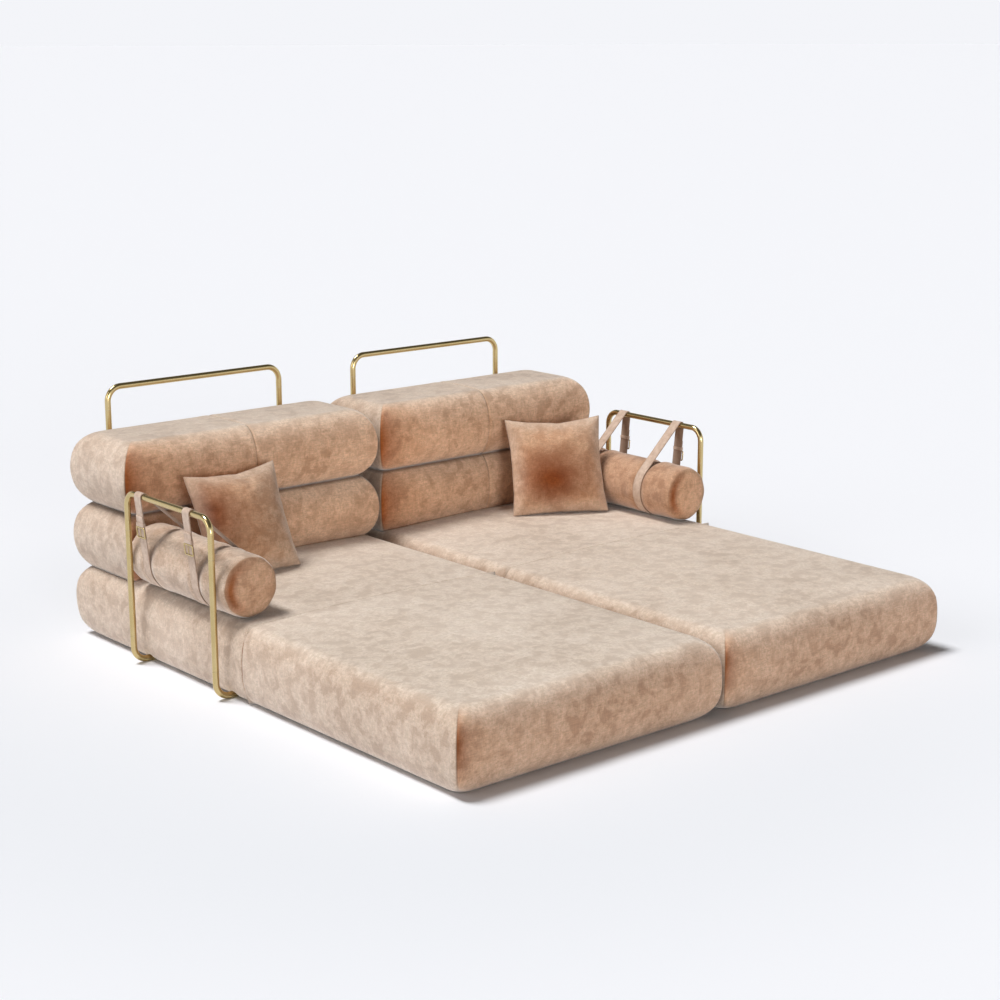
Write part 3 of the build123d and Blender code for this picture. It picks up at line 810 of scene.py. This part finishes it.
def make_straps(side):
    """Both strap loops of a side with their tails and stitches."""
    body = f"{side}_bolster"
    for place, y in zip(("front", "rear"), strap_ys):
        path, normals = belt_path(belt_offset)
        points, faces = strip(path, normals, y, strap_wide, strap_thick, True)
        normal = np.array([math.cos(outer_lean), -math.sin(outer_lean)])
        up = np.array([math.sin(outer_lean), math.cos(outer_lean)])
        origin = np.array([arm_x, bar_z]) + normal * (tail_out + tail_thick / 2)
        tail = np.array([origin - up * drop for drop in np.linspace(*tail_drops, 14)])
        tail_normals = np.array([normal] * len(tail))
        tail_points, tail_faces = strip(tail, tail_normals, y, strap_wide, tail_thick, False)
        first = len(points)
        points += tail_points
        faces += [tuple(first + v for v in f) for f in tail_faces]
        points, faces = flipped(points, faces, side)
        dark_edges = np.tile([1, 0, 0, 1, 1, 1, 1, 1, 1, 1], len(points) // 10)
        loop = mesh_object(f"{side}_{place}_strap_loop", points, faces, strap_material, body, "strap",
                           seam=dark_edges)
        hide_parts(f"{side}_{place}_strap")
        points, faces = stitches(path, normals, y, stitch_inset, strap_wide, strap_thick / 2)
        more = stitches(tail, tail_normals, y, stitch_inset, strap_wide, tail_thick / 2)
        first = len(points)
        points += more[0]
        faces += [tuple(first + v for v in f) for f in more[1]]
        points, faces = flipped(points, faces, side)
        mesh_object(f"{side}_{place}_strap_thread", points, faces, stitch_material, body, "strap")


def rounded_loop(width, height, radius, steps=5):
    """Points and outward directions round a rectangle with round corners."""
    loop = []
    for quarter, (sx, sz) in enumerate(((1, 1), (-1, 1), (-1, -1), (1, -1))):
        centre = np.array([sx * (width / 2 - radius), sz * (height / 2 - radius)])
        for angle in np.linspace(quarter * math.pi / 2, (quarter + 1) * math.pi / 2, steps + 1):
            out = np.array([math.cos(angle), math.sin(angle)])
            loop.append((centre + radius * out, out))
    return loop


def make_buckles(side):
    """Cast frames with a prong, round the strap and its tail."""
    normal = np.array([math.cos(outer_lean), 0, -math.sin(outer_lean)])
    up = np.array([math.sin(outer_lean), 0, math.cos(outer_lean)])
    along = np.array([0, 1.0, 0])
    section = [(math.cos(a) * buckle_wire / 2, math.sin(a) * buckle_thick / 2)
               for a in np.linspace(0, 2 * math.pi, 10)[:-1]]
    prong_span = buckle_tall - buckle_wire
    prong_wide, prong_thick, prong_arch = 0.0016, 0.0013, 0.0016
    prong_rows = [(-0.5, 0.0002), (-0.5, 0.9), (-0.1, 1.0), (0.3, 0.8), (0.52, 0.45), (0.54, 0.0002)]
    prong_ring = 8
    points, faces = [], []
    for y in strap_ys:
        centre = np.array([arm_x, y, bar_z]) + normal * (tail_out + buckle_out) - up * buckle_drop
        loop = rounded_loop(buckle_wide - buckle_wire, prong_span, 0.0045)
        faces += tube_faces(len(loop), len(section), len(points), closed=True, turned=True)
        for (a, b), (oa, ob) in loop:
            for across, out in section:
                points.append(centre + along * (a + oa * across) + up * (b + ob * across) + normal * out)
        first = len(points)
        for place, radius in prong_rows:
            lift = prong_arch * (1 - (2 * place) ** 2)
            for angle in np.linspace(0, 2 * math.pi, prong_ring + 1)[:-1]:
                across = prong_wide * radius * math.cos(angle)
                out = prong_thick * radius * math.sin(angle) + lift
                points.append(centre + up * place * prong_span + along * across + normal * out)
        faces += tube_faces(len(prong_rows), prong_ring, first)
        faces.append(tuple(first + s for s in range(prong_ring))[::-1])
        faces.append(tuple(first + prong_ring * (len(prong_rows) - 1) + s for s in range(prong_ring)))
    points, faces = flipped(points, faces, side)
    piece = mesh_object(f"{side}_buckle_frames", points, faces, brass_material, f"{side}_bolster", "brass")
    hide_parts(f"{side}_strap_buckles")


for side in ("left", "right"):
    make_bolster(side)
    make_straps(side)
    make_buckles(side)


def sewn_squares(half, rise):
    """Two square grids that share their rim, rise apart: points, faces, places in the square from -1 to 1."""
    count = 40
    grid = np.linspace(-half, half, count + 1)
    index, points = {}, []
    for level in (1, -1):
        for i, x in enumerate(grid):
            for j, y in enumerate(grid):
                rim = i in (0, count) or j in (0, count)
                if rim and level < 0:
                    index[(i, j, level)] = index[(i, j, 1)]
                    continue
                index[(i, j, level)] = len(points)
                points.append((x, y, level * (0.0 if rim else rise(x / half, y / half))))
    faces = []
    for i in range(count):
        for j in range(count):
            quad = [(i, j), (i + 1, j), (i + 1, j + 1), (i, j + 1)]
            faces.append([index[(*c, 1)] for c in quad])
            faces.append([index[(*c, -1)] for c in quad[::-1]])
    return points, faces, np.array(points)[:, :2] / half


def inflated_pillow():
    """The two squares of cloth blown up, in the pillow's own plane."""
    points, faces, places = sewn_squares(
        0.199, lambda x, y: 0.016 * (1 - x ** 2) ** 0.5 * (1 - y ** 2) ** 0.5 + 0.002)
    mesh = bpy.data.meshes.new("pillow_blank")
    mesh.from_pydata(points, [], faces)
    mesh.update()
    blank = bpy.data.objects.new("pillow_blank", mesh)
    scene.collection.objects.link(blank)
    cloth = blank.modifiers.new("cloth", "CLOTH")
    settings = cloth.settings
    settings.quality = 8
    settings.mass = 0.3
    settings.tension_stiffness = 30
    settings.compression_stiffness = 30
    settings.shear_stiffness = 12
    settings.bending_stiffness = 0.6
    settings.use_pressure = True
    settings.uniform_pressure_force = 9
    settings.effector_weights.gravity = 0
    settings.air_damping = 4
    cloth.collision_settings.use_collision = False
    for step in range(1, 31):
        scene.frame_set(step)
    shaped = blank.evaluated_get(bpy.context.evaluated_depsgraph_get())
    out = np.array([v.co for v in shaped.data.vertices])
    scene.frame_set(1)
    bpy.data.objects.remove(blank)
    return out, faces, places


pillow_points, pillow_faces, pillow_grid = inflated_pillow()


def make_pillow(side, x, y, turn_degrees, lean_degrees, fields):
    """A throw pillow leant back at a place; fields are the round patches of painted shade on its face."""
    points = pillow_points.copy()
    size = points.max(axis=0) - points.min(axis=0)
    points = points * np.array([pillow_wide / size[0], pillow_wide / size[1], pillow_thick / size[2]])

    # Slightly hollow sides: 2 percent at the bottom, 10 at the top, 5 at both others
    corners = points[:, :2] / (pillow_wide / 2)
    sag = np.stack((np.full(len(points), 0.050), 0.060 + 0.040 * pillow_grid[:, 1]), axis=1)
    straight = pillow_grid * (1 - sag * (1 - pillow_grid[:, ::-1] ** 2))
    points[:, :2] = (0.18 * corners + 0.82 * straight) * pillow_wide / 2
    turn_angle, lean = math.radians(turn_degrees), math.radians(lean_degrees)
    across = np.array([math.cos(turn_angle), math.sin(turn_angle), 0])
    back = np.array([-math.sin(turn_angle), math.cos(turn_angle), 0])
    up = back * math.sin(lean) + np.array([0, 0, math.cos(lean)])
    out = np.cross(across, up)
    centre = np.array([x, y, seat_z]) + up * pillow_half_side
    placed = centre + points[:, :1] * across + points[:, 1:2] * up + points[:, 2:] * out
    placed[:, 2] = np.maximum(placed[:, 2], seat_z + 0.0001)
    rim = 0.5 * (np.abs(pillow_grid).max(axis=1) > 0.999)
    patchy = soft_noise(np.column_stack((pillow_grid, points[:, 2])), 1.5, 0.30, 4 if side == "left" else 9)
    # Painted shade in the round fields, and a painted pale sheen towards the rims; the rim line is the seam
    deep = np.zeros(len(points))
    for most, centre_x, centre_y, spread_x, spread_y in fields:
        off_x, off_y = (pillow_grid[:, 0] - centre_x) / spread_x, (pillow_grid[:, 1] - centre_y) / spread_y
        deep += most * np.exp(-off_x ** 2 - off_y ** 2)
    deep = np.clip(deep * (1 + patchy), 0, 1)
    fair = 0.25 * smoothstep((np.abs(pillow_grid).max(axis=1) - 0.62) / 0.38)
    piece = mesh_object(f"{side}_throw_pillow", placed, pillow_faces, pillow_material, f"{side}_pillow",
                        "pillow_velvet", seam=rim, deep=deep, fair=fair)
    smooth = piece.modifiers.new("subdivision", "SUBSURF")
    smooth.levels = smooth.render_levels = 1
    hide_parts(f"{side}_pillow_cover", f"{side}_pillow_filling")


# Each field: its most, its centre and its spread, in the pillow's plane from -1 to 1
make_pillow("right", 0.6485, 0.406, -26.6, 21.6,
            [(0.52, -0.14, -0.36, 0.95, 0.60), (0.50, -0.10, 0.08, 0.95, 0.95)])
make_pillow("left", -0.645, 0.432, 3.6, 21.9,
            [(0.62, -0.80, 0.20, 0.55, 0.90), (0.42, -0.30, 0.00, 0.80, 0.90)])

# Materials of the solids that stay in view
for name, node in nodes.items():
    if node.hide_render:
        continue
    if "spigots" in name:
        chosen = steel_material
    elif "frame" in name or "buckles" in name:
        chosen = brass_material
    elif "keepers" in name:
        chosen = strap_material
    else:
        chosen = velvet_material
    for n in range(len(node.data.materials)):
        node.data.materials[n] = chosen

# Floor, world and lamps
floor_size = 900.0
floor_mesh = bpy.data.meshes.new("floor")
floor_mesh.from_pydata([(-floor_size, -floor_size, 0), (floor_size, -floor_size, 0),
                        (floor_size, floor_size, 0), (-floor_size, floor_size, 0)], [], [(0, 1, 2, 3)])
floor = bpy.data.objects.new("floor", floor_mesh)
scene.collection.objects.link(floor)
floor.location.z = -0.0006
floor_material = bpy.data.materials.new("floor")
floor_material.use_nodes = True
tree = Nodes(floor_material.node_tree)
# Painted shade on the floor: darker near the sofa, out to 1.3 to 2.5 m from it
away = tree.add("ShaderNodeVectorMath", operation="DISTANCE")
away.inputs[1].default_value = (-0.5, -0.1, 0)
tree.put(away.inputs[0], tree.add("ShaderNodeTexCoord").outputs["Object"])
fade = tree.ramp(away.outputs["Value"], 1.3, 2.5)
pale_floor = tree.mix(fade, rgb(0.835, 0.856, 0.903), rgb(0.907, 0.920, 0.966))
shader = tree.principled(Base_Color=pale_floor, Roughness=0.9)
shader.inputs["Specular IOR Level"].default_value = 0.1
floor_mesh.materials.append(floor_material)

world = bpy.data.worlds.new("world")
scene.world = world
world.use_nodes = True
tree = Nodes(world.node_tree)
path = tree.add("ShaderNodeLightPath")
seen = tree.math("MAXIMUM", path.outputs["Is Camera Ray"],
                 tree.math("MAXIMUM", path.outputs["Is Glossy Ray"], path.outputs["Is Transmission Ray"]))
plain = tree.add("ShaderNodeBackground")
up = tree.add("ShaderNodeSeparateXYZ")
tree.put(up.inputs[0], tree.add("ShaderNodeTexCoord").outputs["Generated"])
ceiling = tree.math("MULTIPLY", tree.ramp(up.outputs[2], 0.30, 0.52), path.outputs["Is Glossy Ray"])
tree.put(plain.inputs[0], tree.mix(ceiling, rgb(0.9027, 0.9114, 0.9467), rgb(0.10, 0.095, 0.08)))
soft = tree.add("ShaderNodeBackground")
soft.inputs[0].default_value = rgb(1.0, 0.99, 0.975)
soft.inputs[1].default_value = 0.06
chosen = tree.add("ShaderNodeMixShader")
tree.put(chosen.inputs[0], seen)
tree.put(chosen.inputs[1], soft.outputs[0])
tree.put(chosen.inputs[2], plain.outputs[0])
out = tree.add("ShaderNodeOutputWorld")
tree.put(out.inputs[0], chosen.outputs[0])


def add_sun(name, toward, strength, angle, colour):
    """toward points from the object to the lamp."""
    data = bpy.data.lights.new(name, "SUN")
    data.energy = strength
    data.angle = angle
    data.color = colour
    lamp = bpy.data.objects.new(name, data)
    lamp.rotation_euler = Vector(toward).to_track_quat("Z", "Y").to_euler()
    scene.collection.objects.link(lamp)


add_sun("overhead", (-0.29, 0.25, 1.0), 2.90, 0.32, (1.0, 0.995, 0.985))
add_sun("key", (-0.90, 0.09, 0.45), 0.50, 0.60, (1.0, 0.99, 0.98))
add_sun("front", (-0.30, -1.0, 0.07), 1.22, 0.35, (1.0, 0.985, 0.97))
